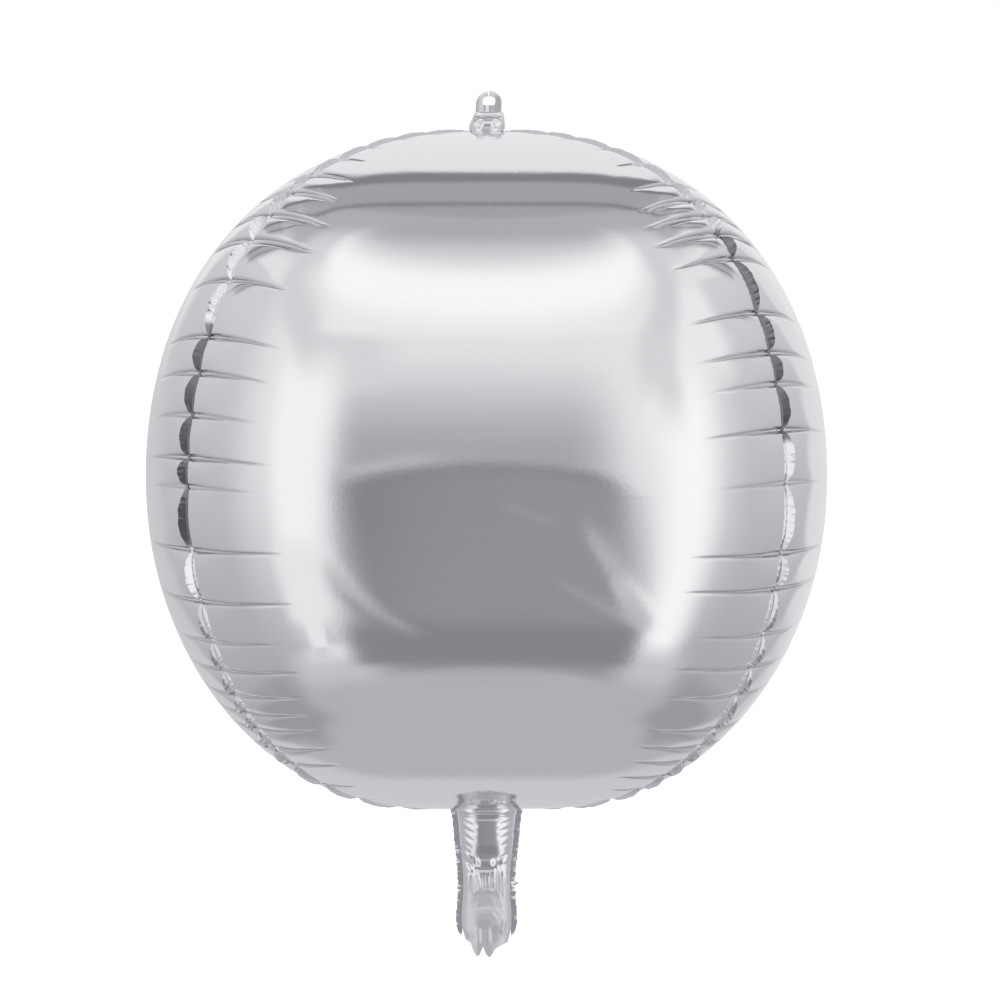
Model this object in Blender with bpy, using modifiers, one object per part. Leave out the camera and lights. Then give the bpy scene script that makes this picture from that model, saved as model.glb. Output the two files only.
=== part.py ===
"""Round foil balloon of four gores, with a hanging tab on top and a filling neck below.

Metres, +Z up, the front towards -Y. The origin is the middle of the hole in the tab.
Four equal gores of metallised film meet at four welded seams. Each seam is a flat strip that
stands out of the body, and the film beside it is gathered in pleats. Between the gores' ends sit
a small pocket that carries the tab, and the neck with the valve sleeve in it.
"""

import math

import bpy
from mathutils import Vector

# Body, measured from its own middle, which lies under the tab
BODY_RADIUS = 0.200
BODY_HALF_HEIGHT = 0.206
TAB_HOLE_HEIGHT = 0.2258
UPPER_POWER = 2.15
LOWER_POWER = 2.07

# Plan of the body, a rounded square: 2 is a circle and a high power is a square
WAIST_POWER = 3.5
SHOULDER_POWER = 6.6
SHOULDER_RISE = 3.4

# Film and welds
FILM = 0.0014
THIN_FILM = 0.0008
WELD = 0.0008
WELD_STANDS_OUT = 0.0042
WELD_STARTS_BEHIND = 0.0018
GAP = 0.0003

# Rings where the gores end: half width across the front, half depth, power of the plan
TOP_RING = (0.0110, 0.0060, 2.6)
BOTTOM_RING = (0.0240, 0.0120, 2.6)
SEAM_SHARE_AT_RING = 0.985

# Step, in radians or as a share of the gore, over which directions along its surface are measured
NEARBY = 0.0001

# Pleats: how deep the film is drawn in at one, how far it stands out between two, and where they end
PLEAT_DEPTH = 0.0024
PLEAT_CREST = 0.0010
PLEAT_REACH = 0.66
ROWS_PER_PLEAT = 3
COLUMNS = (-1.0, -0.93, -0.83, -0.68, -0.45, 0.0, 0.45, 0.68, 0.83, 0.93, 1.0)

# Heights of the pleats above the waist, in millimetres, from the top down
PLEATS = (
    # front_left, front_right, back_right, back_left, share of full depth
    (199, 199, 199, 199, 0.2),
    (188, 187, 188, 187, 0.4),
    (175, 172, 173, 176, 0.6),
    (160, 158, 161, 157, 0.8),
    (140, 141, 144, 138, 1.0),
    (116, 124, 119, 121, 1.0),
    (85, 98, 96, 90, 1.0),
    (65, 76, 68, 72, 1.0),
    (42, 57, 44, 50, 1.0),
    (19, 34, 25, 22, 1.0),
    (-7, 5, -4, 3, 1.0),
    (-32, -32, -30, -36, 1.0),
    (-61, -56, -52, -60, 1.0),
    (-84, -80, -78, -85, 1.0),
    (-101, -99, -103, -100, 1.0),
    (-118, -117, -119, -116, 1.0),
    (-137, -137, -138, -134, 1.0),
    (-155, -156, -153, -157, 0.8),
    (-172, -172, -170, -173, 0.6),
    (-187, -187, -187, -187, 0.4),
    (-197, -197, -197, -197, 0.2),
)
SEAMS = ("front_left", "front_right", "back_right", "back_left")

# Hanging tab and the pocket under it, heights from the middle of the hole
TAB_RADIUS = 0.0078
TAB_ARC_HEIGHT = -0.0019
TAB_HOLE_HALF_WIDTH = 0.00385
TAB_HOLE_HALF_HEIGHT = 0.00275
TAB_THICK = 0.0010
TAB_FOOT = -0.0071
TAB_ARC_STEPS = 16
TAB_HOLE_STEPS = 24
POCKET_SIDES = 20
POCKET = (
    # height, half width, half depth, power of the plan
    (-0.0219, 0.0106, 0.0056, 2.6),
    (-0.0192, 0.0107, 0.0057, 2.6),
    (-0.0150, 0.0104, 0.0056, 2.6),
    (-0.0110, 0.0094, 0.0038, 2.6),
    (-0.0085, 0.0086, 0.0014, 2.6),
    (-0.0075, 0.0084, 0.0008, 2.6),
)

# Filling neck, heights from the middle of the body
NECK = (
    # height, half width, half depth, power of the plan
    (-0.2033, 0.0237, 0.0117, 2.6),
    (-0.2052, 0.0236, 0.0116, 2.6),
    (-0.2080, 0.0210, 0.0106, 2.6),
    (-0.2125, 0.0186, 0.0098, 2.5),
    (-0.2200, 0.0174, 0.0092, 2.4),
    (-0.2310, 0.0166, 0.0080, 2.4),
    (-0.2420, 0.0152, 0.0050, 2.4),
    (-0.2540, 0.0144, 0.0058, 2.4),
    (-0.2670, 0.0146, 0.0062, 2.4),
    (-0.2800, 0.0156, 0.0060, 2.4),
    (-0.2920, 0.0150, 0.0054, 2.4),
    (-0.3023, 0.0132, 0.0048, 2.4),
)
NECK_SEAL_WIDTH = 0.0035
NECK_SEAL_END = -0.2900
NECK_COLUMNS = 10
MOUTH = (
    # distance from the middle, how far the edge lies above the lowest point
    (0.0000, 0.0055),
    (0.0022, 0.0000),
    (0.0050, 0.0000),
    (0.0090, 0.0050),
    (0.0180, 0.0130),
)

# Valve sleeve, a flat tube inside the neck that an inflating straw goes through
SLEEVE = (
    # height, half width, half depth, power of the plan
    (-0.2220, 0.0085, 0.0034, 2.2),
    (-0.2420, 0.0085, 0.0035, 2.2),
    (-0.2620, 0.0085, 0.0034, 2.2),
    (-0.2820, 0.0085, 0.0034, 2.2),
)
SLEEVE_FILM = 0.0006
SLEEVE_SIDES = 20

COLLECTION = "round_foil_balloon"
MATERIALS = {
    # name: colour, roughness, metallic
    "silver_film": ((0.86, 0.86, 0.88), 0.16, 1.0),
    "welded_film": ((0.80, 0.80, 0.83), 0.28, 1.0),
    "valve_film": ((0.78, 0.78, 0.80), 0.40, 0.0),
}


def clear_scene():
    for obj in list(bpy.data.objects):
        bpy.data.objects.remove(obj)


def make_materials():
    for name, (colour, roughness, metallic) in MATERIALS.items():
        material = bpy.data.materials.new(name)
        material.use_nodes = True
        shader = material.node_tree.nodes["Principled BSDF"]
        shader.inputs["Base Color"].default_value = (*colour, 1.0)
        shader.inputs["Roughness"].default_value = roughness
        shader.inputs["Metallic"].default_value = metallic


def add_mesh(name, points, faces, material, collection):
    """A mesh object whose points are given from the body's middle."""
    mesh = bpy.data.meshes.new(name)
    mesh.from_pydata([tuple(p) for p in points], [], faces)
    mesh.validate()
    mesh.shade_smooth()
    mesh.materials.append(bpy.data.materials[material])
    obj = bpy.data.objects.new(name, mesh)
    collection.objects.link(obj)
    obj.location.z = -TAB_HOLE_HEIGHT
    return obj


def solidify(obj, thickness, offset=-1.0):
    """Gives an open surface its wall: inwards for offset -1, to both sides for 0."""
    wall = obj.modifiers.new("wall", "SOLIDIFY")
    wall.thickness = thickness
    wall.offset = offset
    wall.use_even_offset = True
    return wall


def grid_faces(rows, columns):
    """Quads of a grid of points that is listed row by row, each row from left to right."""
    faces = []
    for row in range(rows - 1):
        for column in range(columns - 1):
            corner = row * columns + column
            faces.append((corner, corner + 1, corner + columns + 1, corner + columns))
    return faces


def outline_power(height):
    """Power of the body's outline, which is a little fuller above the waist."""
    return UPPER_POWER if height > 0 else LOWER_POWER


def ring_angle(ring, power):
    """Angle from the waist at which the body has narrowed to this ring's half width."""
    return math.acos((ring[0] / BODY_RADIUS) ** (power / 2))


TOP_ANGLE = ring_angle(TOP_RING, UPPER_POWER)
BOTTOM_ANGLE = -ring_angle(BOTTOM_RING, LOWER_POWER)


def height_angle(height):
    """Angle above the waist of a height on the body's outline."""
    share = (abs(height) / BODY_HALF_HEIGHT) ** (outline_power(height) / 2)
    return math.copysign(math.asin(share), height)


def body_plan(angle):
    """Half width, half depth, height, power of the plan and the seam's share of the half width."""
    rise = math.sin(angle)
    outline = outline_power(rise)
    half = BODY_RADIUS * math.cos(angle) ** (2 / outline)
    height = math.copysign(BODY_HALF_HEIGHT * abs(rise) ** (2 / outline), rise)
    ring_width, ring_depth, ring_power = TOP_RING if rise > 0 else BOTTOM_RING
    near = (ring_width / half) ** 3
    power = WAIST_POWER + (SHOULDER_POWER - WAIST_POWER) * abs(rise) ** SHOULDER_RISE
    power += (ring_power - power) * near
    share = 0.5 ** (1 / power)
    share += (SEAM_SHARE_AT_RING - share) * near
    return half, half - (ring_width - ring_depth) * near, height, power, share


def gore_point(side, across, angle):
    """Point of a gore's smooth surface, with across from -1 at its left seam to 1 at its right one."""
    half_width, half_depth, height, power, share = body_plan(angle)
    if side in ("front", "back"):
        run = share * across
        x, y = half_width * run, -half_depth * (1 - abs(run) ** power) ** (1 / power)
    else:
        run = (1 - share**power) ** (1 / power) * across
        x, y = half_width * (1 - abs(run) ** power) ** (1 / power), half_depth * run
    turn = -1 if side in ("back", "left") else 1
    return Vector((turn * x, turn * y, height))


def gore_normal(side, across, angle):
    """Outward direction of a gore's smooth surface."""
    toward_seam = math.copysign(NEARBY, across)
    along = gore_point(side, across, angle + NEARBY) - gore_point(side, across, angle - NEARBY)
    over = gore_point(side, across, angle) - gore_point(side, across - toward_seam, angle)
    return (over * toward_seam).cross(along).normalized()


def row_angles(seam):
    """Angles of a seam's rows from the bottom ring to the top one, and how much each is gathered."""
    column = SEAMS.index(seam)
    stops = [(BOTTOM_ANGLE, 0.0)]
    stops += [(height_angle(row[column] / 1000), row[4]) for row in reversed(PLEATS)]
    stops += [(TOP_ANGLE, 0.0)]
    rows = []
    for (low, low_depth), (high, high_depth) in zip(stops, stops[1:]):
        for part in range(ROWS_PER_PLEAT):
            share = part / ROWS_PER_PLEAT
            crest = PLEAT_CREST * min(low_depth, high_depth)
            gather = crest if part else -PLEAT_DEPTH * low_depth
            rows.append((low + (high - low) * share, gather))
    rows.append((TOP_ANGLE, 0.0))
    return rows


GORES = {
    # gore: seam at its left edge, seam at its right edge
    "front": ("front_left", "front_right"),
    "right": ("front_right", "back_right"),
    "back": ("back_right", "back_left"),
    "left": ("back_left", "front_left"),
}


def make_gore(side, collection):
    left, right = (row_angles(seam) for seam in GORES[side])
    points = []
    for (left_angle, left_gather), (right_angle, right_gather) in zip(left, right):
        for across in COLUMNS:
            angle = left_angle + (right_angle - left_angle) * (across + 1) / 2
            gather = left_gather if across < 0 else right_gather
            fade = max(0.0, (abs(across) - PLEAT_REACH) / (1 - PLEAT_REACH))
            point = gore_point(side, across, angle)
            point += gore_normal(side, across, angle) * gather * fade
            if abs(across) == 1:
                inner = gore_point(side, across * (1 - NEARBY), angle)
                back = (inner - gore_point(side, across, angle)).normalized()
                point += back * (WELD / 2 + GAP)
            points.append(point)
    faces = grid_faces(len(left), len(COLUMNS))
    gore = add_mesh("gore_" + side, points, faces, "silver_film", collection)
    solidify(gore, FILM)
    return gore


def make_seam(seam, collection):
    """The welded margins of two gores, one flat strip that runs from pole to pole."""
    side = next(name for name, edges in GORES.items() if edges[1] == seam)
    points = []
    rows = row_angles(seam)
    for angle, gather in rows:
        foot = gore_point(side, 1.0, angle)
        out = gore_normal(side, 1.0, angle)
        points.append(foot + out * (gather - WELD_STARTS_BEHIND))
        points.append(foot + out * (gather + WELD_STANDS_OUT))
    strip = add_mesh("seam_" + seam, points, grid_faces(len(rows), 2), "welded_film", collection)
    solidify(strip, WELD, offset=0.0)
    return strip


def loft_point(section, turn):
    """Point of a section's outline; turn is 0 at the front and grows towards +X."""
    height, half_width, half_depth, power = section
    across, forward = math.sin(turn), math.cos(turn)
    x = math.copysign(half_width * abs(across) ** (2 / power), across)
    y = -math.copysign(half_depth * abs(forward) ** (2 / power), forward)
    return Vector((x, y, height))


def mouth_rise(x):
    """How far the neck's lower edge lies above its lowest point, at this distance from the middle."""
    for (near, near_rise), (far, far_rise) in zip(MOUTH, MOUTH[1:]):
        if abs(x) <= far:
            return near_rise + (far_rise - near_rise) * (abs(x) - near) / (far - near)
    return MOUTH[-1][1]


def make_neck_film(side, collection):
    """Half of the neck's flattened tube. Its lower edge has two lobes with a notch between."""
    turned = 0 if side == "front" else math.pi
    top, bottom = NECK[0][0], NECK[-1][0]
    points = []
    for section in NECK:
        for column in range(NECK_COLUMNS + 1):
            share = 2 * column / NECK_COLUMNS - 1
            point = loft_point(section, turned + share * math.pi / 2)
            depth = (top - section[0]) / (top - bottom)
            point.z += mouth_rise(point.x) * depth**4
            if abs(share) == 1:
                point.y = -WELD / 2 if side == "front" else WELD / 2
            points.append(point)
    faces = [face[::-1] for face in grid_faces(len(NECK), NECK_COLUMNS + 1)]
    film = add_mesh("neck_" + side, points, faces, "silver_film", collection)
    solidify(film, THIN_FILM)
    return film


def make_neck_seal(side, collection):
    """The weld along one edge of the neck."""
    turn = 1 if side == "right" else -1
    rows = [row for row in NECK if NECK_SEAL_END < row[0] < NECK[0][0]]
    rows.append((NECK_SEAL_END, *NECK[-2][1:]))
    points = []
    for height, half_width, _, _ in rows:
        points.append(Vector((turn * (half_width + GAP), 0, height)))
        points.append(Vector((turn * (half_width + NECK_SEAL_WIDTH), 0, height)))
    faces = grid_faces(len(rows), 2)
    seal = add_mesh("neck_seal_" + side, points, faces, "welded_film", collection)
    solidify(seal, WELD, offset=0.0)
    return seal


def make_tube(name, sections, sides, film, collection, closed_top=False):
    """A tube through the sections of a table, open at both ends or closed at its last section.

    The film is given by its thickness and its material.
    """
    thickness, material = film
    points = []
    for section in sections:
        for side in range(sides):
            points.append(loft_point(section, 2 * math.pi * (side + 0.5) / sides))
    faces = []
    for row in range(len(sections) - 1):
        for side in range(sides):
            following = (side + 1) % sides
            low, high = row * sides, (row + 1) * sides
            faces.append((low + side, low + following, high + following, high + side))
    if closed_top:
        last = (len(sections) - 1) * sides
        faces.append(tuple(last + side for side in range(sides)))
    if sections[0][0] > sections[-1][0]:
        faces = [face[::-1] for face in faces]
    tube = add_mesh(name, points, faces, material, collection)
    solidify(tube, thickness)
    return tube


def make_pocket(collection):
    sections = [(height + TAB_HOLE_HEIGHT, *rest) for height, *rest in POCKET]
    film = (THIN_FILM, "silver_film")
    return make_tube("crown_pocket", sections, POCKET_SIDES, film, collection, closed_top=True)


def make_tab(collection):
    """The tab's outline with its round end and its hole, filled and given its thickness."""
    curve = bpy.data.curves.new("hanging_tab", "CURVE")
    curve.dimensions = "2D"
    curve.fill_mode = "BOTH"
    curve.extrude = TAB_THICK / 2
    arc = [math.pi * step / TAB_ARC_STEPS for step in range(TAB_ARC_STEPS + 1)]
    outline = [(TAB_RADIUS * math.cos(a), TAB_ARC_HEIGHT + TAB_RADIUS * math.sin(a)) for a in arc]
    outline += [(-TAB_RADIUS, TAB_FOOT), (TAB_RADIUS, TAB_FOOT)]
    turns = [2 * math.pi * step / TAB_HOLE_STEPS for step in range(TAB_HOLE_STEPS)]
    hole = [(TAB_HOLE_HALF_WIDTH * math.cos(a), TAB_HOLE_HALF_HEIGHT * math.sin(a)) for a in turns]
    for loop in (outline, hole):
        spline = curve.splines.new("POLY")
        spline.points.add(len(loop) - 1)
        for point, (x, y) in zip(spline.points, loop):
            point.co = (x, y, 0, 1)
        spline.use_cyclic_u = True
    curve.materials.append(bpy.data.materials["welded_film"])
    tab = bpy.data.objects.new("hanging_tab", curve)
    tab.rotation_euler.x = math.pi / 2
    collection.objects.link(tab)
    return tab


def main():
    clear_scene()
    make_materials()
    collection = bpy.data.collections.new(COLLECTION)
    bpy.context.scene.collection.children.link(collection)
    for side in GORES:
        make_gore(side, collection)
    for seam in SEAMS:
        make_seam(seam, collection)
    make_tab(collection)
    make_pocket(collection)
    for side in ("front", "back"):
        make_neck_film(side, collection)
    for side in ("left", "right"):
        make_neck_seal(side, collection)
    make_tube("valve_sleeve", SLEEVE, SLEEVE_SIDES, (SLEEVE_FILM, "valve_film"), collection)


main()
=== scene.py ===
"""Looks of the round foil balloon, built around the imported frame.

Metres, +Z up, the front towards -Y, the origin in the middle of the tab's hole. Heights on the
body and the neck are given from the body's middle.
"""

import math
import random

import bpy
import numpy as np
from mathutils import Euler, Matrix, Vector


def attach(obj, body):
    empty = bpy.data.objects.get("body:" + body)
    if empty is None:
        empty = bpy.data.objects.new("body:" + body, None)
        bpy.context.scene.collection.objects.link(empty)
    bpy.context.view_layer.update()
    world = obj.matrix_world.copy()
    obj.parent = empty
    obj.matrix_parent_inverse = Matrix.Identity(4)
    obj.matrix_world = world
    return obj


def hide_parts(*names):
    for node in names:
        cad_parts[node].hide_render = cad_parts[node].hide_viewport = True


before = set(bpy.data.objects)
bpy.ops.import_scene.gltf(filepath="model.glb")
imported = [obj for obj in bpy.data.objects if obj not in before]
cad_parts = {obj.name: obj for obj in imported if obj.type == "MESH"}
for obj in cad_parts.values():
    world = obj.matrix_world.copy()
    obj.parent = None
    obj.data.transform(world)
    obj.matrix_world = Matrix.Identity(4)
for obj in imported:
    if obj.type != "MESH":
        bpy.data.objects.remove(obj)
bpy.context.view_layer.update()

MM = 0.001

# Body, as in the solids
BODY_RADIUS = 0.200
BODY_HALF_HEIGHT = 0.206
BODY_MIDDLE = -0.2258
UPPER_POWER = 2.15
LOWER_POWER = 2.07
WAIST_POWER = 3.5
SHOULDER_POWER = 6.6
SHOULDER_RISE = 3.4
TOP_RING = (0.0110, 0.0060, 2.6)
BOTTOM_RING = (0.0240, 0.0120, 2.6)
SEAM_SHARE_AT_RING = 0.985

# Photograph: camera and framing
CAMERA_DISTANCE = 1.4
CAMERA_RISE = 0.0717
PIXELS_PER_RADIAN = 2273.5
PICTURE_WIDTH = 1000
BODY_MIDDLE_PIXEL = (486.56, 470.69)

FILM = 0.0003

SEAMS = ("front_left", "front_right", "back_right", "back_left")
GORES = {
    # gore: seam at its left edge, seam at its right edge
    "front": ("front_left", "front_right"),
    "right": ("front_right", "back_right"),
    "back": ("back_right", "back_left"),
    "left": ("back_left", "front_left"),
}

# Pleats from the top down. Heights above the waist where they meet each seam, how far they run
# into a gore, how deep they are as a share of a full one, and how far the film below them puffs out.
PLEATS = (
    # front_left, front_right, back_right, back_left, reach, depth, puff
    (203, 203, 203, 203, 9, 0.20, 0.3),
    (199, 199, 200, 199, 12, 0.25, 0.4),
    (193, 192, 194, 191, 16, 0.35, 0.6),
    (185, 182, 184, 183, 22, 0.50, 0.9),
    (175, 170, 173, 176, 30, 0.90, 1.0),
    (165, 160, 163, 161, 36, 1.30, 1.1),
    (152, 151, 154, 148, 42, 1.30, 1.2),
    (138, 141, 144, 136, 44, 1.30, 1.2),
    (116, 128, 119, 121, 44, 1.00, 1.2),
    (85, 98, 96, 90, 50, 1.00, 1.1),
    (65, 76, 68, 72, 50, 0.90, 1.0),
    (42, 59, 44, 50, 44, 0.70, 0.9),
    (19, 34, 25, 22, 54, 1.00, 1.1),
    (3, 5, -4, 3, 44, 0.55, 1.1),
    (-32, -34, -30, -36, 60, 1.10, 1.2),
    (-61, -54, -52, -60, 60, 0.90, 1.1),
    (-84, -80, -78, -85, 44, 0.60, 1.0),
    (-101, -99, -103, -100, 50, 0.70, 1.0),
    (-116, -116, -119, -116, 46, 0.70, 0.9),
    (-127, -137, -131, -134, 46, 0.70, 0.9),
    (-137, -148, -142, -146, 42, 0.80, 0.8),
    (-149, -158, -153, -157, 38, 0.80, 0.8),
    (-160, -169, -164, -168, 34, 0.80, 0.8),
    (-176, -179, -175, -178, 26, 0.60, 0.7),
    (-188, -189, -187, -188, 18, 0.40, 0.5),
    (-198, -199, -198, -198, 10, 0.20, 0.3),
)
GROOVE_DEPTH = 1.2 * MM
GROOVE_WIDTH = 0.50 * MM
GROOVE_SPREAD = 1.25 * MM
FINGER_DEPTH = 1.2
FINGER_HEIGHT = 0.7 * MM
# How dark the painted shade in the pleats' folds is
FOLD_SHADE = 0.5
PINCH_DEPTH = 1.6 * MM
PUFF_REACH = 32 * MM
SEAM_VALLEY = (1.2 * MM, 3.5 * MM)
DROOP_SHARE = 0.9
TIP_DROOP_REACH = 62 * MM
TIP_DROOP = (
    # height of the pleat, how much its end droops, in millimetres
    (-190, 0.0),
    (-40, 0.0),
    (30, 2.5),
    (100, 5.5),
    (160, 5.0),
    (195, 0.0),
)
ROW_OFFSETS = np.array((0.0, 0.4, 0.8, 1.2, 1.65, 2.2, 3.0, 4.2)) * MM
ROW_STEP = 3.6 * MM
COLUMN_FIRST = 0.9 * MM
COLUMN_MOST = 4.5 * MM
COLUMN_GROWTH = 1.25
HALF_GORE = 0.170

# Flange of a seam: how far it leans towards the side gore, and how crinkled it is
FLANGE_WIDTH = 4.3 * MM
FLANGE_STEP = 0.7 * MM
FLANGE_ACROSS = np.array((-0.2, 0.0, 0.12, 0.3, 0.5, 0.7, 0.88, 1.0))
CRINKLE = 0.55 * MM
FLANGE_LEAN = (
    # height in millimetres, lean in degrees on the left and on the right, crinkle
    (-205, 5, 5, 0.3),
    (-120, -10, -10, 0.3),
    (-64, -10, -8, 0.2),
    (-58, 20, 18, 0.3),
    (-36, 28, 24, 0.5),
    (-30, 41, 27, 0.3),
    (18, 41, 27, 0.6),
    (32, 41, 41, 0.1),
    (84, 41, 41, 0.1),
    (88, 27, 41, 0.9),
    (136, 27, 41, 0.7),
    (146, 24, 24, 0.6),
    (160, 5, 5, 0.6),
    (205, 5, 5, 0.2),
)
# Painted shade on the flanges, left and right, where they lie in the gores' shade: bottom, top
SHADED_FLANGE = {"left": (-28 * MM, 90 * MM), "right": (30 * MM, 142 * MM)}

# Long soft creases of the front gore, in millimetres from the body's middle
BODY_CREASES = (
    # from x, z, to x, z, bow, half width, height, haze
    (46, -2, 92, -76, -3, 5.0, 0.25, 0.9),
    (64, -40, 92, -76, -1, 6.0, 0.20, 0.8),
    (0, 1, 46, -16, -2, 4.0, 0.10, 0.5),
    (-56, -38, 80, -72, -3, 3.5, 0.00, 0.5),
    (24, -36, 88, -72, -2, 4.0, 0.10, 0.6),
    (-92, -26, -22, -78, -9, 4.0, -0.20, 0.8),
    (-96, -62, -88, -88, 0, 6.0, 0.30, 0.0),
)
CREASE_HAZE = 0.30

# Hanging tab and pocket, in millimetres from the middle of the hole
TAB_HALF_WIDTH = 7.75
TAB_ARCH_TOP = 5.85
TAB_FOOT = -7.1
TAB_HOLE = (3.85, 2.75)
TAB_SLIT = (97, 5.0)
TAB_LEAN = 1.5
POCKET = (
    # height, half width, half depth, power
    (-7.0, 7.9, 0.5, 2.6),
    (-7.8, 8.6, 0.9, 2.6),
    (-8.9, 8.9, 2.0, 2.6),
    (-11.0, 9.5, 4.2, 2.5),
    (-13.5, 10.4, 5.6, 2.4),
    (-16.0, 10.8, 6.2, 2.4),
    (-18.6, 10.2, 6.0, 2.4),
    (-22.3, 8.4, 5.2, 2.4),
)
POCKET_FOLDS = (
    # from x, z, to x, z, bow, half width, height
    (-8.6, -8.1, 8.8, -8.1, 0.2, 0.5, 0.35),
    (-9.0, -9.6, 9.2, -9.5, 0.3, 0.6, -0.45),
    (-5.2, -14.2, 5.4, -14.2, 0.0, 2.4, 0.9),
    (-9.6, -15.7, -3.4, -11.0, 0.6, 0.7, 0.5),
    (9.8, -15.5, 3.6, -11.2, -0.6, 0.7, 0.5),
    (-9.0, -18.0, -4.0, -16.8, 0.4, 0.8, -0.5),
    (9.0, -18.0, 4.2, -16.8, -0.4, 0.8, -0.5),
    (-1.0, -9.0, 0.6, -12.0, 0.2, 0.6, 0.4),
)

# Filling neck, in millimetres from the body's middle
NECK = (
    # height, half width, half depth, power
    (-203.3, 23.7, 11.7, 2.6),
    (-205.2, 23.6, 11.6, 2.6),
    (-208.0, 20.6, 10.6, 2.6),
    (-212.5, 18.4, 9.9, 2.5),
    (-220.0, 17.4, 9.4, 2.4),
    (-231.0, 16.6, 8.2, 2.4),
    (-240.0, 15.6, 5.4, 2.4),
    (-246.0, 15.0, 4.6, 2.4),
    (-254.0, 14.4, 5.6, 2.4),
    (-267.0, 14.6, 6.0, 2.4),
    (-280.0, 15.6, 5.6, 2.4),
    (-292.0, 15.4, 4.6, 2.4),
    (-302.3, 13.4, 4.2, 2.4),
)
NECK_ROW = 0.8
NECK_COLUMNS = 57
NECK_EDGE = (
    # across, height of the lower edge
    (-16.0, -290.5),
    (-13.0, -293.0),
    (-10.0, -294.8),
    (-8.0, -300.8),
    (-6.0, -303.4),
    (-4.4, -302.6),
    (-2.2, -296.8),
    (-0.6, -301.5),
    (1.6, -304.0),
    (3.4, -302.4),
    (5.4, -298.4),
    (9.0, -296.8),
    (13.5, -294.6),
    (16.0, -291.5),
)
NECK_FRONT_FOLDS = (
    # from x, z, to x, z, bow, half width, height
    (-18.0, -214.4, -4.8, -220.6, -0.8, 0.8, -0.55),
    (-17.9, -218.8, -5.6, -225.0, -0.9, 0.8, -0.60),
    (-17.0, -223.4, -6.6, -230.0, -0.9, 0.8, -0.60),
    (-16.2, -228.6, -8.2, -234.6, -0.7, 0.7, -0.50),
    (-15.6, -232.8, -9.4, -238.0, -0.6, 0.7, -0.45),
    (18.0, -215.6, 6.2, -219.0, 0.6, 0.8, -0.55),
    (17.4, -220.0, 6.2, -223.2, 0.7, 0.8, -0.60),
    (16.8, -224.6, 6.6, -227.6, 0.7, 0.8, -0.50),
    (16.4, -229.8, 8.4, -232.2, 0.5, 0.7, -0.40),
    (-23.0, -210.6, 23.0, -210.6, -0.4, 0.9, 0.80),
    (-21.0, -214.6, 21.0, -214.4, -0.6, 0.8, -0.70),
    (-7.2, -243.3, 5.8, -243.3, -0.4, 2.3, 1.10),
    (-8.2, -247.6, 7.0, -247.6, -0.6, 0.8, -0.70),
    (-16.0, -236.8, -6.8, -245.4, 0.8, 0.8, 0.80),
    (-15.6, -242.4, -8.0, -247.8, 0.6, 0.7, -0.70),
    (-15.0, -247.4, -8.6, -250.2, 0.4, 0.6, 0.60),
    (15.6, -238.4, 6.4, -242.2, -0.6, 0.7, -0.60),
    (15.0, -243.0, 8.0, -244.6, -0.4, 0.7, 0.70),
    (-7.2, -246.6, -4.2, -263.0, 0.6, 0.7, 0.75),
    (-9.4, -250.0, -8.4, -266.0, 0.3, 0.7, -0.60),
    (6.6, -244.6, 7.0, -263.6, -0.6, 0.8, 0.80),
    (9.0, -248.0, 9.6, -268.0, -0.4, 0.8, -0.80),
    (-2.0, -249.4, -1.6, -260.0, 0.4, 0.6, -0.40),
    (3.4, -249.0, 2.6, -260.6, -0.4, 0.6, -0.40),
    (-4.0, -262.0, 4.8, -262.0, 1.0, 0.6, 0.60),
    (-12.6, -250.0, -11.0, -263.0, 0.5, 0.8, 0.60),
    (11.4, -248.6, 13.6, -262.0, 0.6, 0.7, 0.70),
    (14.6, -256.0, 9.8, -260.4, 0.2, 0.5, -0.60),
    (15.0, -262.0, 10.6, -264.4, 0.2, 0.5, 0.60),
    (-9.0, -272.2, -0.8, -276.2, 0.0, 0.6, 0.50),
    (7.8, -272.4, 0.2, -276.2, 0.0, 0.6, 0.50),
    (2.6, -274.6, 6.6, -279.8, 0.2, 0.5, 0.45),
    (-12.6, -285.0, -7.6, -292.6, -0.5, 1.4, 0.50),
    (-6.0, -283.0, -5.0, -297.0, 0.2, 1.6, 0.50),
    (3.4, -282.0, 4.0, -296.0, -0.2, 1.8, -0.50),
    (7.0, -286.6, 11.4, -286.8, 0.2, 0.8, 0.50),
    (12.0, -278.0, 10.6, -292.4, -0.8, 1.2, 0.50),
)
NECK_PATCH = (-0.3, -267.4, 8.6, 5.4, -0.7)
NECK_BACK_FOLDS = (
    (-18.0, -216.4, -6.0, -221.6, -0.8, 0.9, -0.60),
    (-17.0, -224.4, -7.0, -229.0, -0.9, 0.9, -0.60),
    (17.6, -217.6, 6.2, -222.0, 0.6, 0.9, -0.60),
    (16.8, -225.6, 7.6, -230.6, 0.7, 0.8, -0.50),
    (-23.0, -210.6, 23.0, -210.6, -0.4, 0.9, 0.80),
    (-21.0, -214.6, 21.0, -214.4, -0.6, 0.8, -0.70),
    (-9.2, -243.3, 8.8, -245.3, -0.4, 1.8, 0.90),
    (-8.4, -246.6, -5.2, -268.0, 0.6, 0.8, 0.70),
    (7.4, -246.6, 7.0, -270.0, -0.6, 0.8, 0.70),
    (-3.0, -248.0, 1.6, -262.0, 0.4, 0.7, -0.50),
    (-14.0, -262.0, -4.6, -280.0, 0.8, 1.0, 0.50),
    (13.6, -266.0, 6.0, -284.0, -0.6, 1.0, -0.60),
    (-7.0, -284.0, -4.0, -297.0, 0.2, 1.2, 0.50),
    (4.0, -286.0, 6.0, -297.0, -0.2, 1.2, 0.50),
)
VALVE_WELD = (-0.262, -0.245)
SEAL_WIDTH = 3.6
SEAL_END = -291.0
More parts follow.
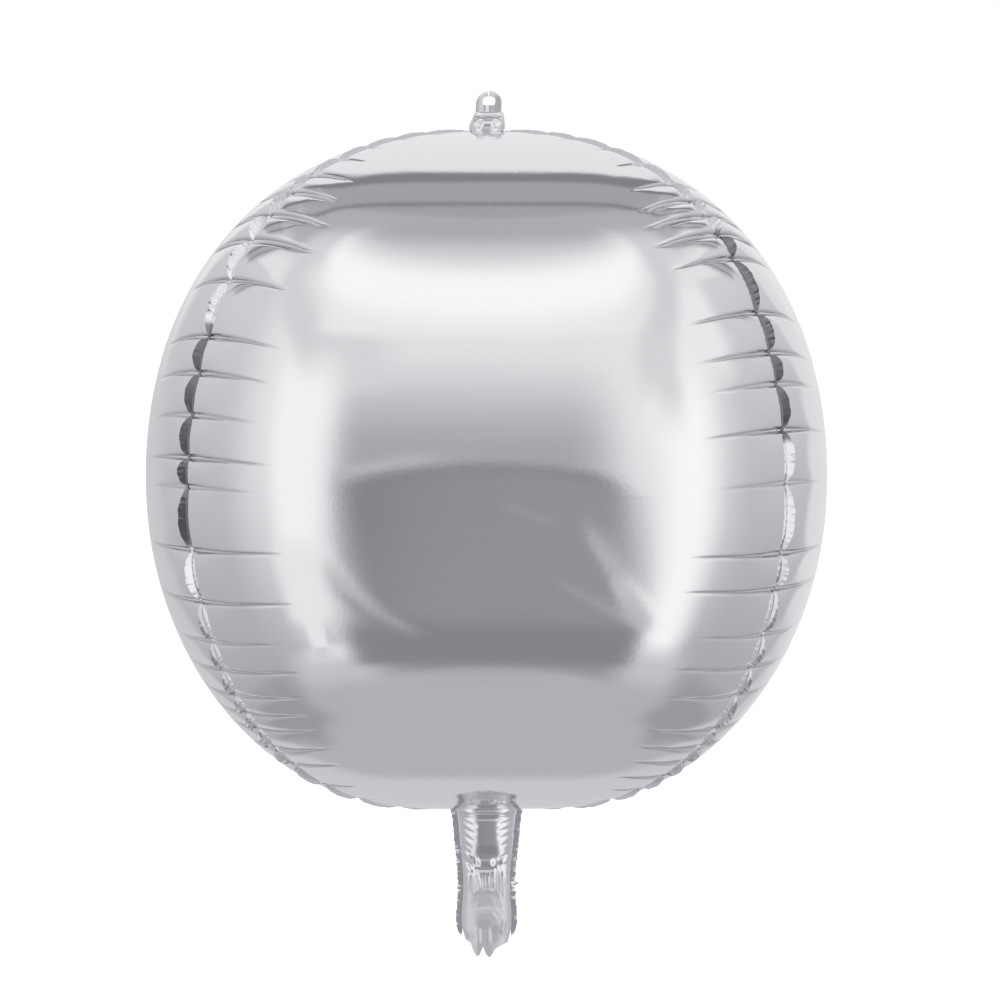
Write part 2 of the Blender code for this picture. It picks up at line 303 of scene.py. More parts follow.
SLEEVE = (
    # height, half width, half depth, power
    (-222.0, 8.5, 3.4, 2.2),
    (-242.0, 8.5, 3.0, 2.2),
    (-262.0, 8.5, 3.4, 2.2),
    (-282.0, 8.5, 3.4, 2.2),
)

class Wire:
    """An output of a node. Arithmetic on wires adds the nodes that work it out."""

    def __init__(self, tree, socket):
        self.tree, self.socket = tree, socket

    def node(self, kind, settings=None, output=0, **inputs):
        """Adds a node of this kind. Inputs are named like its sockets, with _ for a space."""
        return add_node(self.tree, kind, settings, output, **inputs)

    def math(self, operation, *others):
        vector = self.socket.type in ("VECTOR", "RGBA")
        kind = "ShaderNodeVectorMath" if vector else "ShaderNodeMath"
        values = {f"_{index}": value for index, value in enumerate((self, *others))}
        return self.node(kind, {"operation": operation}, **values)

    def __add__(self, other):
        return self.math("ADD", other)

    def __sub__(self, other):
        return self.math("SUBTRACT", other)

    def __rsub__(self, other):
        return self * -1 + other

    def __mul__(self, other):
        vector = self.socket.type in ("VECTOR", "RGBA")
        return self.math("MULTIPLY", (other,) * 3 if vector and not hasattr(other, "tree") else other)

    def __truediv__(self, other):
        return self.math("DIVIDE", other)

    def __pow__(self, other):
        return self.math("POWER", other)

    def __abs__(self):
        return self.math("ABSOLUTE")

    __radd__ = __add__
    __rmul__ = __mul__

    def step(self, low, high):
        """0 below low, 1 above high and a smooth rise between."""
        settings = {"interpolation_type": "SMOOTHSTEP"}
        return self.node("ShaderNodeMapRange", settings, Value=self, From_Min=low, From_Max=high)

    def mix(self, low, high):
        """Low where this wire is 0 and high where it is 1."""
        return low + self * (high - low)

    def tint(self, low, high):
        """A colour between two colours, by this wire's value."""
        settings = {"data_type": "RGBA"}
        return self.node("ShaderNodeMix", settings, output=2, _0=self, _6=low, _7=high)

    def ramp(self, stops):
        """A value read from stops of (place, value) with straight lines between."""
        low, high = stops[0][0], stops[-1][0]
        settings = {"stops": [((place - low) / (high - low), value) for place, value in stops]}
        place = self.node("ShaderNodeMapRange", None, Value=self, From_Min=low, From_Max=high)
        return place.node("ShaderNodeValToRGB", settings, Fac=place).node_value()

    def node_value(self):
        return self.node("ShaderNodeRGBToBW", None, Color=self)


def add_node(tree, kind, settings=None, output=0, **inputs):
    """A node of this kind in a tree, with its settings, and its inputs by name or by number."""
    node = tree.nodes.new(kind)
    for name, value in (settings or {}).items():
        if name == "stops":
            set_stops(node.color_ramp, value)
        else:
            setattr(node, name, value)
    for name, value in inputs.items():
        socket = node.inputs[int(name[1:])] if name[0] == "_" else node.inputs[name.replace("_", " ")]
        if isinstance(value, Wire):
            tree.links.new(value.socket, socket)
        else:
            socket.default_value = value
    return Wire(tree, node.outputs[output]) if node.outputs else node


def set_stops(color_ramp, stops):
    while len(color_ramp.elements) < len(stops):
        color_ramp.elements.new(0.5)
    for element, (place, value) in zip(color_ramp.elements, stops):
        element.position = place
        element.color = (value, value, value, 1)


def new_material(name):
    """An empty material and a wire with the object's coordinates in metres."""
    material = bpy.data.materials.new(name)
    material.use_nodes = True
    tree = material.node_tree
    tree.nodes.clear()
    place = add_node(tree, "ShaderNodeTexCoord", output=3)
    return material, place


def finish_material(place, **inputs):
    """Joins a Principled shader with these inputs to the output."""
    shader = place.node("ShaderNodeBsdfPrincipled", None, **inputs)
    place.node("ShaderNodeOutputMaterial", None, Surface=shader)


def noise(place, scale, detail=3.0, roughness=0.5):
    return place.node(
        "ShaderNodeTexNoise", None, Vector=place, Scale=scale, Detail=detail, Roughness=roughness
    )


def silver_foil():
    """Smooth metallised film under tension: mirror-like, very slightly uneven; painted shade in the folds.
    """
    material, place = new_material("silver_foil")
    cloud = noise(place, 9.0, 3.0)
    grain = noise(place, 420.0, 2.0)
    colour = cloud.tint((0.860, 0.855, 0.875, 1), (0.900, 0.895, 0.910, 1))
    fold = place.node("ShaderNodeAttribute", {"attribute_name": "fold"}, output=2)
    haze = place.node("ShaderNodeAttribute", {"attribute_name": "haze"}, output=2)
    # Painted shade: the base colour goes dark along the folds of the pleats
    colour = (fold * FOLD_SHADE).tint(colour, (0.05, 0.05, 0.06, 1))
    roughness = 0.055 + cloud * 0.03 + grain * 0.03 + haze * CREASE_HAZE
    bump = place.node("ShaderNodeBump", None, Strength=0.25, Distance=0.00005, Height=grain)
    finish_material(place, Base_Color=colour, Metallic=1.0, Roughness=roughness, Normal=bump)
    return material


def welded_foil(name="welded_foil"):
    """Two layers of film pressed together by the weld: duller, with small dents."""
    material, place = new_material(name)
    cloud = noise(place, 60.0, 3.0)
    dents = noise(place, 700.0, 3.0, 0.6)
    colour = cloud.tint((0.80, 0.795, 0.83, 1), (0.90, 0.895, 0.92, 1))
    # The flanges' copy of this foil carries painted shade: dark base colour in their shaded stretches
    if name == "flange_foil_painted_shade":
        colour = flange_shade(place, cloud).tint(colour, (0.17, 0.17, 0.18, 1))
    roughness = 0.10 + cloud * 0.10
    bump = place.node("ShaderNodeBump", None, Strength=0.3, Distance=0.0001, Height=dents)
    finish_material(place, Base_Color=colour, Metallic=1.0, Roughness=roughness, Normal=bump)
    return material


def flange_shade(place, cloud):
    """Painted shade on a flange: dark in its shaded stretches, a little unevenly."""
    across, height = (place.node("ShaderNodeSeparateXYZ", output=axis, Vector=place) for axis in (0, 2))
    right = across.step(-0.01, 0.01)
    total = None
    for side, (low, high) in SHADED_FLANGE.items():
        mask = height.step(low - 4 * MM, low) * (1 - height.step(high, high + 4 * MM))
        mask = mask * (right if side == "right" else 1 - right)
        total = mask if total is None else total + mask
    return total * (0.75 + cloud * 0.25)


def neck_foil():
    """Loose film of the neck and the pocket: bright above, satin where the valve is welded in."""
    material, place = new_material("neck_foil")
    cloud = noise(place, 80.0, 3.0)
    creases = noise(place, 300.0, 3.0, 0.5)
    colour = cloud.tint((0.80, 0.80, 0.825, 1), (0.90, 0.90, 0.915, 1))
    height = place.node("ShaderNodeSeparateXYZ", output=2, Vector=place)
    welded = 1 - height.step(*VALVE_WELD)
    roughness = 0.10 + cloud * 0.06 + welded * (0.22 + cloud * 0.12)
    bump = place.node("ShaderNodeBump", None, Strength=0.3, Distance=0.0001, Height=creases)
    finish_material(place, Base_Color=colour, Metallic=1.0, Roughness=roughness, Normal=bump)
    return material


def valve_film():
    """Thin clear film with a satin skin, heat-wrinkled."""
    material, place = new_material("valve_film")
    cloud = noise(place, 120.0, 2.0)
    colour = cloud.tint((0.74, 0.74, 0.76, 1), (0.84, 0.84, 0.86, 1))
    creases = noise(place, 500.0, 3.0)
    bump = place.node("ShaderNodeBump", None, Strength=0.4, Distance=0.0002, Height=creases)
    finish_material(place, Base_Color=colour, Roughness=0.3 + cloud * 0.2, Normal=bump)
    return material


def pale_floor():
    material, place = new_material("pale_floor")
    shade = noise(place, 3.0, 2.0)
    colour = shade.tint((0.93, 0.93, 0.93, 1), (0.95, 0.95, 0.95, 1))
    finish_material(
        place, Base_Color=colour, Roughness=0.8, Emission_Color=(1, 1, 1, 1), Emission_Strength=0.6
    )
    return material


# Soft panels around the balloon, each painted over those before it. Degrees from the camera's side
# and above the horizon; flare widens a panel downwards and climb lifts it away from its middle.
WALLS_LIGHT = (0.46, 0.74)
STUDIO = (
    # panel, side, middle, half, edge, flare, bottom, top, climb, soft below, soft above, light
    ("far wall", 0, 180, 40, 18, 0, -60, 4, 0, 14, 14, 0.65),
    ("right far wall", 1, 165, 32, 10, 0, -12, 57, 0, 16, 8, 0.80),
    ("far lights", 0, 180, 24, 14, 0, 14, 58, 0, 16, 5, 0.87),
    ("dark corners", 0, 117, 17, 14, 0, 48, 60, 0, 6, 5, 0.48),
    ("front glow", 0, 0, 38, 28, 0, 22, 58, 0, 90, 10, 0.87),
    ("right reflector", 1, 48, 9, 12, 0, 32, 50, 0, 14, 8, 0.92),
    ("high side lights", 0, 72, 12, 12, 0, 53, 57, 0, 3, 8, 0.86),
    ("ceiling", 0, 0, 180, 1, 0, 84, 90, 0, 14, 1, 0.48),
    ("ceiling at the sides", 0, 108, 20, 24, 0, 68, 90, 0, 8, 1, 0.50),
    ("far ceiling", 0, 180, 40, 30, 0, 64, 90, 0, 4, 1, 0.42),
    ("middle over the camera", 1, -3, 7, 12, 0, -58, 4, 0, 4, 36, 0.45),
    ("shade under the top light", -1, 20, 8, 8, 0, 28, 39, 0, 8, 4, 0.76),
    ("glow under the top light", 1, -4, 16, 18, 0, 43, 54, 0, 4, 8, 0.92),
    ("top light", 1, -2, -41, 16, -1.1, 54, 59, 0.22, 14, 15, 1.05),
    ("floor edge in front", 0, 29, 10, 20, 0, -63, -54, 0, 8, 6, 0.64),
    ("left strip light", -1, 27.5, 4, 10, -0.05, -20, 22, 0, 8, 18, 1.00),
    ("left strip light below", -1, 28.5, 5, 9, 0, -51, -22, 0, 6, 10, 0.90),
    ("right strip light", 1, 32, 2, 17, -0.03, -47, 14, 0, 9, 24, 1.05),
    ("left groove", -1, 45, 13, 10, 0, 18, 23, 0.65, 10, 12, 0.73),
    ("right groove", 1, 37, 13, 10, 0, 5, 11, 1.14, 12, 10, 0.72),
    ("foot of the right groove", 1, 27, 1, 7, 0, 26, 36, 0, 20, 8, 0.76),
    ("light line over the gap", -1, 9, 5, 4, 0, 3.5, 5.5, -0.33, 2, 2, 0.55),
    ("camera gap", 1, -1.5, 8.5, 9, -0.07, -46, 1.5, -0.33, 8, 3, 0.275),
    ("camera gap, right side", 1, 5, 0, 16, 0.14, -57, -1, -0.33, 4, 4, 0.34),
    ("foot of the gap", 1, 2, 16, 9, 0, -55.5, -47, 0, 4, 9, 0.28),
    ("floor", 0, 0, 180, 1, 0, -90, -68, 0, 1, 10, 0.515),
    ("dim floor edge", 0, 92, 18, 26, 0, -72, -60, 0, 7, 10, 0.38),
)
RAILS = (
    # dark rail across the ceiling, from, to, in degrees behind the point overhead, soft edge, light
    ("far rail", 22.5, 27.5, 1.8, 0.25),
    ("near rail", 7.3, 8.7, 0.9, 0.26),
)
RAIL_ENDS = (35, 52)


def make_studio():
    """Soft light from all around: a dark gap by the camera, strip lights beside it, one above."""
    world = bpy.data.worlds.new("studio")
    world.use_nodes = True
    bpy.context.scene.world = world
    tree = world.node_tree
    tree.nodes.clear()
    ray = add_node(tree, "ShaderNodeTexCoord")
    x, y, z = (add_node(tree, "ShaderNodeSeparateXYZ", output=axis, Vector=ray) for axis in range(3))
    turn = x.math("ARCTAN2", y * -1) * math.degrees(1)
    up = z.math("ARCSINE") * math.degrees(1)
    light = up.step(-75, 75).mix(*WALLS_LIGHT)
    for _, side, middle, half, edge, flare, bottom, top, climb, below, above, strength in STUDIO:
        around = abs((turn * side if side else abs(turn)) - middle)
        if flare:
            around = around + up * flare
        height = up - abs(turn) * climb if climb else up
        mask = 1 - around.step(half, half + edge)
        if bottom > -90:
            mask = mask * height.step(bottom - below, bottom)
        if top < 90:
            mask = mask * (1 - height.step(top, top + above))
        light = mask.mix(light, strength)
    behind = y.math("ARCTAN2", z) * math.degrees(1)
    overhead = up.step(*RAIL_ENDS)
    for _, low, high, edge, strength in RAILS:
        mask = behind.step(low - edge, low) * (1 - behind.step(high, high + edge)) * overhead
        light = mask.mix(light, strength)
    seen = add_node(tree, "ShaderNodeLightPath")
    light = seen.mix(light, 1.0)
    colour = light.tint((0.92, 0.92, 1.0, 1), (1, 1, 1, 1))
    backdrop = light.node("ShaderNodeBackground", None, Color=colour, Strength=light)
    light.node("ShaderNodeOutputWorld", None, Surface=backdrop)


def make_camera():
    data = bpy.data.cameras.new("camera")
    camera = bpy.data.objects.new("camera", data)
    bpy.context.scene.collection.objects.link(camera)
    bpy.context.scene.camera = camera
    data.sensor_width = 36.0
    data.lens = data.sensor_width * PIXELS_PER_RADIAN / PICTURE_WIDTH
    across, down = (pixel / PICTURE_WIDTH - 0.5 for pixel in BODY_MIDDLE_PIXEL)
    data.shift_x = -across
    data.shift_y = down
    away = Vector((0, -math.cos(CAMERA_RISE), math.sin(CAMERA_RISE))) * CAMERA_DISTANCE
    camera.location = Vector((0, 0, BODY_MIDDLE)) + away
    camera.rotation_euler = Euler((math.pi / 2 - CAMERA_RISE, 0, 0))


def make_floor():
    bpy.ops.mesh.primitive_plane_add(size=40, location=(0, 0, -0.62))
    floor = bpy.context.object
    floor.name = "floor"
    floor.data.materials.append(pale_floor())
    floor.visible_glossy = False


def add_mesh(name, points, faces, material, replaced, thickness=FILM):
    """A sheet of film whose points are given from the body's middle, as one piece of the balloon."""
    mesh = bpy.data.meshes.new(name)
    mesh.from_pydata(np.asarray(points).reshape(-1, 3).tolist(), [], faces)
    mesh.shade_smooth()
    mesh.materials.append(material)
    piece = bpy.data.objects.new(name, mesh)
    bpy.context.scene.collection.objects.link(piece)
    piece.location.z = BODY_MIDDLE
    if thickness:
        wall = piece.modifiers.new("wall", "SOLIDIFY")
        wall.thickness = thickness
        wall.offset = -1.0
        crisp = piece.modifiers.new("crisp", "EDGE_SPLIT")
        crisp.split_angle = math.radians(70)
    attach(piece, "root")
    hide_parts(*replaced)
    return piece


def grid_faces(rows, columns, flip=False, closed=False):
    """Quads of a grid of points listed row by row."""
    faces = []
    for row in range(rows - 1):
        for column in range(columns if closed else columns - 1):
            following = (column + 1) % columns
            low, high = row * columns, (row + 1) * columns
            face = (low + column, low + following, high + following, high + column)
            faces.append(face[::-1] if flip else face)
    return faces


def smooth(low, high, value):
    share = np.clip((value - low) / (high - low), 0, 1)
    return share * share * (3 - 2 * share)


def outline_power(rise):
    return np.where(np.asarray(rise) > 0, UPPER_POWER, LOWER_POWER)


def ring_angle(ring, power):
    return math.acos((ring[0] / BODY_RADIUS) ** (power / 2))


TOP_ANGLE = ring_angle(TOP_RING, UPPER_POWER)
BOTTOM_ANGLE = -ring_angle(BOTTOM_RING, LOWER_POWER)


def height_angle(height):
    share = (np.abs(height) / BODY_HALF_HEIGHT) ** (outline_power(height) / 2)
    return np.copysign(np.arcsin(share), height)


def body_plan(angle):
    """Half width, half depth, height, power of the plan and the seam's share of the half width."""
    rise = np.sin(angle)
    outline = outline_power(rise)
    half = BODY_RADIUS * np.cos(angle) ** (2 / outline)
    height = np.copysign(BODY_HALF_HEIGHT * np.abs(rise) ** (2 / outline), rise)
    ring_width, ring_depth, ring_power = (
        np.where(rise > 0, top, bottom) for top, bottom in zip(TOP_RING, BOTTOM_RING)
    )
    near = np.minimum(1, (ring_width / half) ** 3)
    power = WAIST_POWER + (SHOULDER_POWER - WAIST_POWER) * np.abs(rise) ** SHOULDER_RISE
    power = power + (ring_power - power) * near
    share = 0.5 ** (1 / power)
    share = share + (SEAM_SHARE_AT_RING - share) * near
    return half, half - (ring_width - ring_depth) * near, height, power, share


def gore_surface(side, across, angle):
    """Points of a gore's smooth surface for arrays of across, -1 to 1, and angle."""
    half_width, half_depth, height, power, share = body_plan(angle)
    if side in ("front", "back"):
        run = share * across
        x, y = half_width * run, -half_depth * (1 - np.abs(run) ** power) ** (1 / power)
    else:
        run = (1 - share**power) ** (1 / power) * across
        x, y = half_width * (1 - np.abs(run) ** power) ** (1 / power), half_depth * run
    turn = -1 if side in ("back", "left") else 1
    return np.stack([turn * x, turn * y, height], axis=-1)


def seam_stops(seam):
    """Angles of a seam's pleats from the bottom ring to the top ring."""
    column = SEAMS.index(seam)
    heights = np.array([row[column] for row in reversed(PLEATS)]) * MM
    return np.concatenate([[BOTTOM_ANGLE], height_angle(heights), [TOP_ANGLE]])


def pleat_values(column):
    """A column of the pleat table from the bottom up, with zeros at both rings."""
    return np.array([0.0] + [row[column] for row in reversed(PLEATS)] + [0.0])


REACH = pleat_values(4) * MM
DEPTH = pleat_values(5)
PUFF = pleat_values(6) * MM
INTERVALS = len(REACH) - 1


def seam_length(side, edge, low, high):
    """Length of a seam between two angles."""
    angles = np.linspace(low, high, 9)
    points = gore_surface(side, np.full(9, float(edge)), angles)
    return np.linalg.norm(np.diff(points, axis=0), axis=1).sum()


def row_shares(length):
    """Places of the rows between two pleats this far apart, as shares, without the last one."""
    near = ROW_OFFSETS * min(1.0, length / (2.2 * ROW_OFFSETS[-1]))
    middle = length - 2 * near[-1]
    count = max(2, int(round(middle / ROW_STEP)) + 1)
    inner = np.linspace(near[-1], length - near[-1], count)
    return np.concatenate([near[:-1], inner, length - near[-2:0:-1]]) / length


def gore_rows(side):
    """For each row its pleat interval, its share of it, and its angle at both seams."""
    stops = [seam_stops(seam) for seam in GORES[side]]
    rows = []
    for index in range(INTERVALS):
        length = 0.0
        for edge, stop in zip((-1, 1), stops):
            length += seam_length(side, edge, stop[index], stop[index + 1]) / 2
        rows += [(index, share) for share in row_shares(length)]
    rows.append((INTERVALS - 1, 1.0))
    interval = np.array([row[0] for row in rows])
    share = np.array([row[1] for row in rows])
    angles = [stop[interval] + (stop[interval + 1] - stop[interval]) * share for stop in stops]
    return interval, share, angles[0], angles[1]


def gore_columns():
    """Places across a gore, dense by its seams."""
    steps, step, total = [0.0], COLUMN_FIRST, 0.0
    while total < HALF_GORE:
        total += step
        steps.append(total)
        step = min(COLUMN_MOST, step * COLUMN_GROWTH)
    half = np.array(steps) / steps[-1]
    return np.concatenate([half - 1, (1 - half)[-2::-1]])


def follow_pleats(side, columns, start, edge):
    """Angles of the rows at each column, where rows leave the seam square to it, as pleats do."""
    step = 1e-4
    inward = columns if edge < 0 else columns[::-1]
    angles = [start]
    fade = np.clip(np.minimum(TOP_ANGLE - start, start - BOTTOM_ANGLE) / 0.2, 0, 1) * DROOP_SHARE
    for here, after in zip(inward[:-1], inward[1:]):
        now = angles[-1]
        if here * edge <= 0:
            angles.append(now)
            continue
        place = np.full_like(now, here * 0.999)
        along = gore_surface(side, place, now + step) - gore_surface(side, place, now - step)
        over = gore_surface(side, place + step, now) - gore_surface(side, place - step, now)
        slope = -(over * along).sum(-1) / (along * along).sum(-1)
        angles.append(now + slope * (after - here) * fade)
    result = np.stack(angles, axis=1)
    far = HALF_GORE * (1 - np.abs(inward))[None, :]
    heights, droops = zip(*TIP_DROOP)
    droop = MM * np.interp(body_plan(start)[2] / MM, heights, droops)[:, None]
    result -= droop / BODY_RADIUS * smooth(0, TIP_DROOP_REACH, far)
    return result if edge < 0 else result[:, ::-1]


def unit(vectors):
    return vectors / np.linalg.norm(vectors, axis=-1, keepdims=True)


def grid_normals(points):
    """Normals of a grid of points, away from the body's axis."""
    normals = unit(np.cross(np.gradient(points, axis=1), np.gradient(points, axis=0)))
    return normals * np.sign((normals * points).sum(-1, keepdims=True))


def groove(distance, run, depth):
    """Two folds of a pleat by the seam, which run together towards its end, and the ridge between."""
    finger = depth > FINGER_DEPTH
    spread = GROOVE_SPREAD * (1.3 * (1 - run**6) if finger else 1 - run)
    width = GROOVE_WIDTH * (1 + 0.45 * run)
    folds = np.exp(-(((distance - spread) / width) ** 2)) + np.exp(-(((distance + spread) / width) ** 2))
    end = 1 - run**8 if finger else (1 - run**2) * (1 - 0.25 * run)
    ridge = np.exp(-((distance / (0.6 * GROOVE_SPREAD)) ** 2)) * (end if finger else 0)
    return folds * end * min(depth, 1.0), ridge


def pleat_relief(base, interval, share, across_seam):
    """How far a gore's film stands out of its smooth surface, and the painted shade in its folds."""
    relief = np.zeros(across_seam.shape)
    shade = np.zeros(across_seam.shape)
    first = [np.flatnonzero(interval == index)[0] for index in range(INTERVALS)] + [len(base) - 1]
    for index in range(1, INTERVALS):
        row = first[index]
        low, high = first[index - 1], first[index + 1] + 1
        away = base[low:high] - base[row]
        distance = np.linalg.norm(away, axis=-1) * np.sign(np.arange(low, high) - row)[:, None]
        run = np.clip(across_seam[low:high] / REACH[index], 0, 1)
        folds, ridge = groove(distance, run, DEPTH[index])
        relief[low:high] += FINGER_HEIGHT * ridge - GROOVE_DEPTH * folds
        shade[low:high] += folds
    for index in range(INTERVALS):
        rows = slice(first[index], first[index + 1] + (index == INTERVALS - 1))
        part = share[rows][:, None]
        fade = 1 - smooth(0, PUFF_REACH, across_seam[rows])
        depth = DEPTH[index] + (DEPTH[index + 1] - DEPTH[index]) * part
        crown = 1 - np.abs(2 * part - 1) ** 2.6
        puff = PUFF[min(index + 1, INTERVALS - 1)]
        relief[rows] += (puff * crown - PINCH_DEPTH * (1 - crown) * depth) * fade
    valley, width = SEAM_VALLEY
    return relief - valley * np.exp(-across_seam / width), np.clip(shade, 0, 1)


def fold_relief(across, up, folds):
    """Height of ridges and grooves drawn as bowed lines on a sheet, all in millimetres."""
    relief = np.zeros(np.broadcast(across, up).shape)
    for x0, z0, x1, z1, bow, width, height in folds:
        length = math.hypot(x1 - x0, z1 - z0)
        dx, dz = (x1 - x0) / length, (z1 - z0) / length
        part = ((across - x0) * dx + (up - z0) * dz) / length
        off = (up - z0) * dx - (across - x0) * dz - bow * 4 * part * (1 - part)
        ends = smooth(0, 0.3, part) * smooth(0, 0.3, 1 - part)
        relief += height * ends * np.exp(-((off / width) ** 2))
    return relief


def make_gore(side, material):
    interval, share, left, right = gore_rows(side)
    columns = gore_columns()
    from_left = follow_pleats(side, columns, left, -1)
    from_right = follow_pleats(side, columns, right, 1)
    blend = smooth(-0.4, 0.4, columns)[None, :]
    angles = np.clip(from_left + (from_right - from_left) * blend, BOTTOM_ANGLE, TOP_ANGLE)
    base = gore_surface(side, np.broadcast_to(columns * 0.99999, angles.shape), angles)
    steps = np.linalg.norm(np.diff(base, axis=1), axis=-1)
    run = np.concatenate([np.zeros((len(base), 1)), np.cumsum(steps, axis=1)], axis=1)
    across_seam = np.minimum(run, run[:, -1:] - run)
    relief, shade = pleat_relief(base, interval, share, across_seam)
    haze = np.zeros_like(shade)
    if side == "front":
        across, up = base[..., 0] / MM, base[..., 2] / MM
        relief += MM * fold_relief(across, up, [row[:7] for row in BODY_CREASES])
        haze = fold_relief(across, up, [row[:6] + row[7:] for row in BODY_CREASES])
    points = base + grid_normals(base) * relief[..., None]
    faces = grid_faces(*angles.shape)
    piece = add_mesh("foil_" + side, points, faces, material, ["gore_" + side])
    # Painted shade along the pleats' folds, and haze that roughens the creases
    for name, values in (("fold", shade), ("haze", haze)):
        piece.data.attributes.new(name, "FLOAT", "POINT").data.foreach_set("value", values.ravel())
    return piece


def waves(run, lengths, seed):
    """Uneven waves along a strip, about -1 to 1, from sines of these wavelengths."""
    phases = random.Random(seed)
    total = sum(np.sin(2 * math.pi * (run / length + phases.random())) for length in lengths)
    return total / math.sqrt(len(lengths))


def make_flange(seam, material):
    """The two gores' margins, welded flat on each other. They lean between the pleats."""
    side = next(name for name, edges in GORES.items() if edges[1] == seam)
    stops = seam_stops(seam)
    interval, share = [], []
    for index in range(INTERVALS):
        steps = max(6, int(seam_length(side, 1, stops[index], stops[index + 1]) / FLANGE_STEP))
        interval += [index] * steps
        share += [step / steps for step in range(steps)]
    interval, share = np.array(interval + [INTERVALS - 1]), np.array(share + [1.0])
    angle = stops[interval] + (stops[interval + 1] - stops[interval]) * share
    edge = np.full_like(angle, 0.999)
    foot = gore_surface(side, edge, angle)
    along = unit(np.gradient(foot, axis=0))
    over = unit(foot - gore_surface(side, edge * 0.99, angle))
    out = unit(np.cross(along, over))
    out *= np.sign((out * foot).sum(-1, keepdims=True))
    over = np.cross(out, along)
    foot = gore_surface(side, edge / 0.999, angle)
    relief = pleat_relief(foot[:, None], interval, share, np.zeros((len(foot), 1)))[0][:, 0]
    foot = foot + out * relief[:, None]
    heights, *columns = (np.array(column, float) for column in zip(*FLANGE_LEAN))
    leans = dict(front_left=columns[0], front_right=columns[1], back_right=columns[0], back_left=columns[1])
    middles = (stops[interval] + stops[interval + 1]) / 2
    place = body_plan(middles)[2] / MM
    lens = 1 - np.abs(2 * share - 1) ** 2.5
    lean = np.radians(np.interp(place, heights, leans[seam])) * (0.4 + 0.6 * lens**0.5)
    crinkle = np.interp(place, heights, columns[2]) * CRINKLE * lens
    towards_side = np.sign(over[:, 1] * foot[:, 1]) * -1
    run = np.concatenate([[0], np.cumsum(np.linalg.norm(np.diff(foot, axis=0), axis=1))]) / MM
    polar = smooth(140, 190, np.abs(place))
    least = 0.22 + np.where(place > 0, 0.7, 0.35) * polar
    width = FLANGE_WIDTH * (least + (1 - least) * lens) * (1 - 0.4 * polar)
    width = width * (1 + 0.04 * waves(run, (7.0, 11.0), seam))
    fine = waves(run, (2.1, 2.9, 4.3), seam + "fine")
    shear = waves(run, (1.7, 3.3, 5.1), seam + "shear")
    rows = []
    for v in FLANGE_ACROSS:
        tilt = lean * towards_side
        off = crinkle * (fine * v + shear * v * v)
        direction = out * np.cos(tilt)[:, None] + over * np.sin(tilt)[:, None]
        flat = over * np.cos(tilt)[:, None] - out * np.sin(tilt)[:, None]
        rows.append(foot + direction * (width * v)[:, None] + flat * off[:, None])
    points = np.stack(rows, axis=1)
    faces = grid_faces(*points.shape[:2])
    return add_mesh("flange_" + seam, points, faces, material, ["seam_" + seam])


def blur(values, reach):
    """Values along a piece with the corners between its sections smoothed away."""
    window = np.hanning(2 * reach + 3)[1:-1]
    padded = np.pad(values, reach, mode="edge")
    return np.convolve(padded, window / window.sum(), mode="valid")


def section_values(sections, rows, reach):
    """Smooth heights, half widths, half depths and powers for evenly spaced rows."""
    columns = [np.array(column, float) for column in zip(*sections)]
    heights = np.linspace(columns[0][0], columns[0][-1], rows)
    order = np.argsort(columns[0])
    smoothed = [blur(np.interp(heights, columns[0][order], c[order]), reach) for c in columns[1:]]
    return [value[:, None] for value in (heights, *smoothed)]


def make_pocket(material):
    """The puffed end of the gores that the tab hangs from."""
    columns = 96
    heights, widths, depths, powers = section_values(POCKET, 40, 2)
    turns = np.linspace(0, 2 * math.pi, columns, endpoint=False)[None, :]
    across, forward = np.sin(turns), np.cos(turns)
    x = widths * np.sign(across) * np.abs(across) ** (2 / powers)
    y = -depths * np.sign(forward) * np.abs(forward) ** (2 / powers)
    y = y - fold_relief(x, heights, POCKET_FOLDS) * smooth(0, 0.4, np.abs(forward)) * np.sign(forward)
    x = x + TAB_LEAN * smooth(-20, -6, heights)
    z = np.broadcast_to(heights, x.shape) - BODY_MIDDLE / MM
    faces = grid_faces(*x.shape, closed=True)
    faces.append(tuple(range(columns))[::-1])
    return add_mesh("pocket", MM * np.stack([x, y, z], axis=-1), faces, material, ["crown_pocket"])


def make_tab(material):
    """The flat tab: an arch around its hole, slit at the top."""
    middle, half_gap = TAB_SLIT
    turns = np.radians(np.linspace(middle + half_gap, middle + 360 - half_gap, 145))[:, None]
    c, s = np.cos(turns), np.sin(turns)
    width, height = TAB_HOLE
    power = np.where(s > 0, 2.3, 5.0)
    inner = ((np.abs(c) / width) ** power + (np.abs(s) / height) ** power) ** (-1 / power)
    centre = TAB_ARCH_TOP - TAB_HALF_WIDTH
    arch = s * centre + np.sqrt((s * centre) ** 2 - centre**2 + TAB_HALF_WIDTH**2)
    side = TAB_HALF_WIDTH / np.maximum(np.abs(c), 1e-6)
    foot = np.where(s < 0, TAB_FOOT / np.minimum(s, -1e-6), 1e6)
    outer = np.where(arch * s > centre, arch, np.minimum(side, foot))
    radius = inner + (outer - inner) * np.linspace(0, 1, 9)[None, :]
    x, z = radius * c, radius * s
    y = 0.25 * np.cos(x * 0.45 + 0.5) - 0.35 * np.exp(-(((x + 0.9) / 0.6) ** 2)) * smooth(-1.5, -4.0, z)
    y = y + 0.02 * z * z * smooth(0, 6, z)
    x = x + TAB_LEAN + 0.05 * z
    points = MM * np.stack([x, y, z - BODY_MIDDLE / MM], axis=-1)
    faces = grid_faces(*x.shape)
    return add_mesh("tab", points, faces, material, ["hanging_tab"])


def neck_patch(x, z):
    """The flat print-free patch where the sleeve is welded to the front film."""
    middle_x, middle_z, width, height, depth = NECK_PATCH
    far = (((x - middle_x) / width) ** 4 + ((z - middle_z) / height) ** 4) ** 0.25
    return depth * (1 - smooth(0.82, 1.05, far))


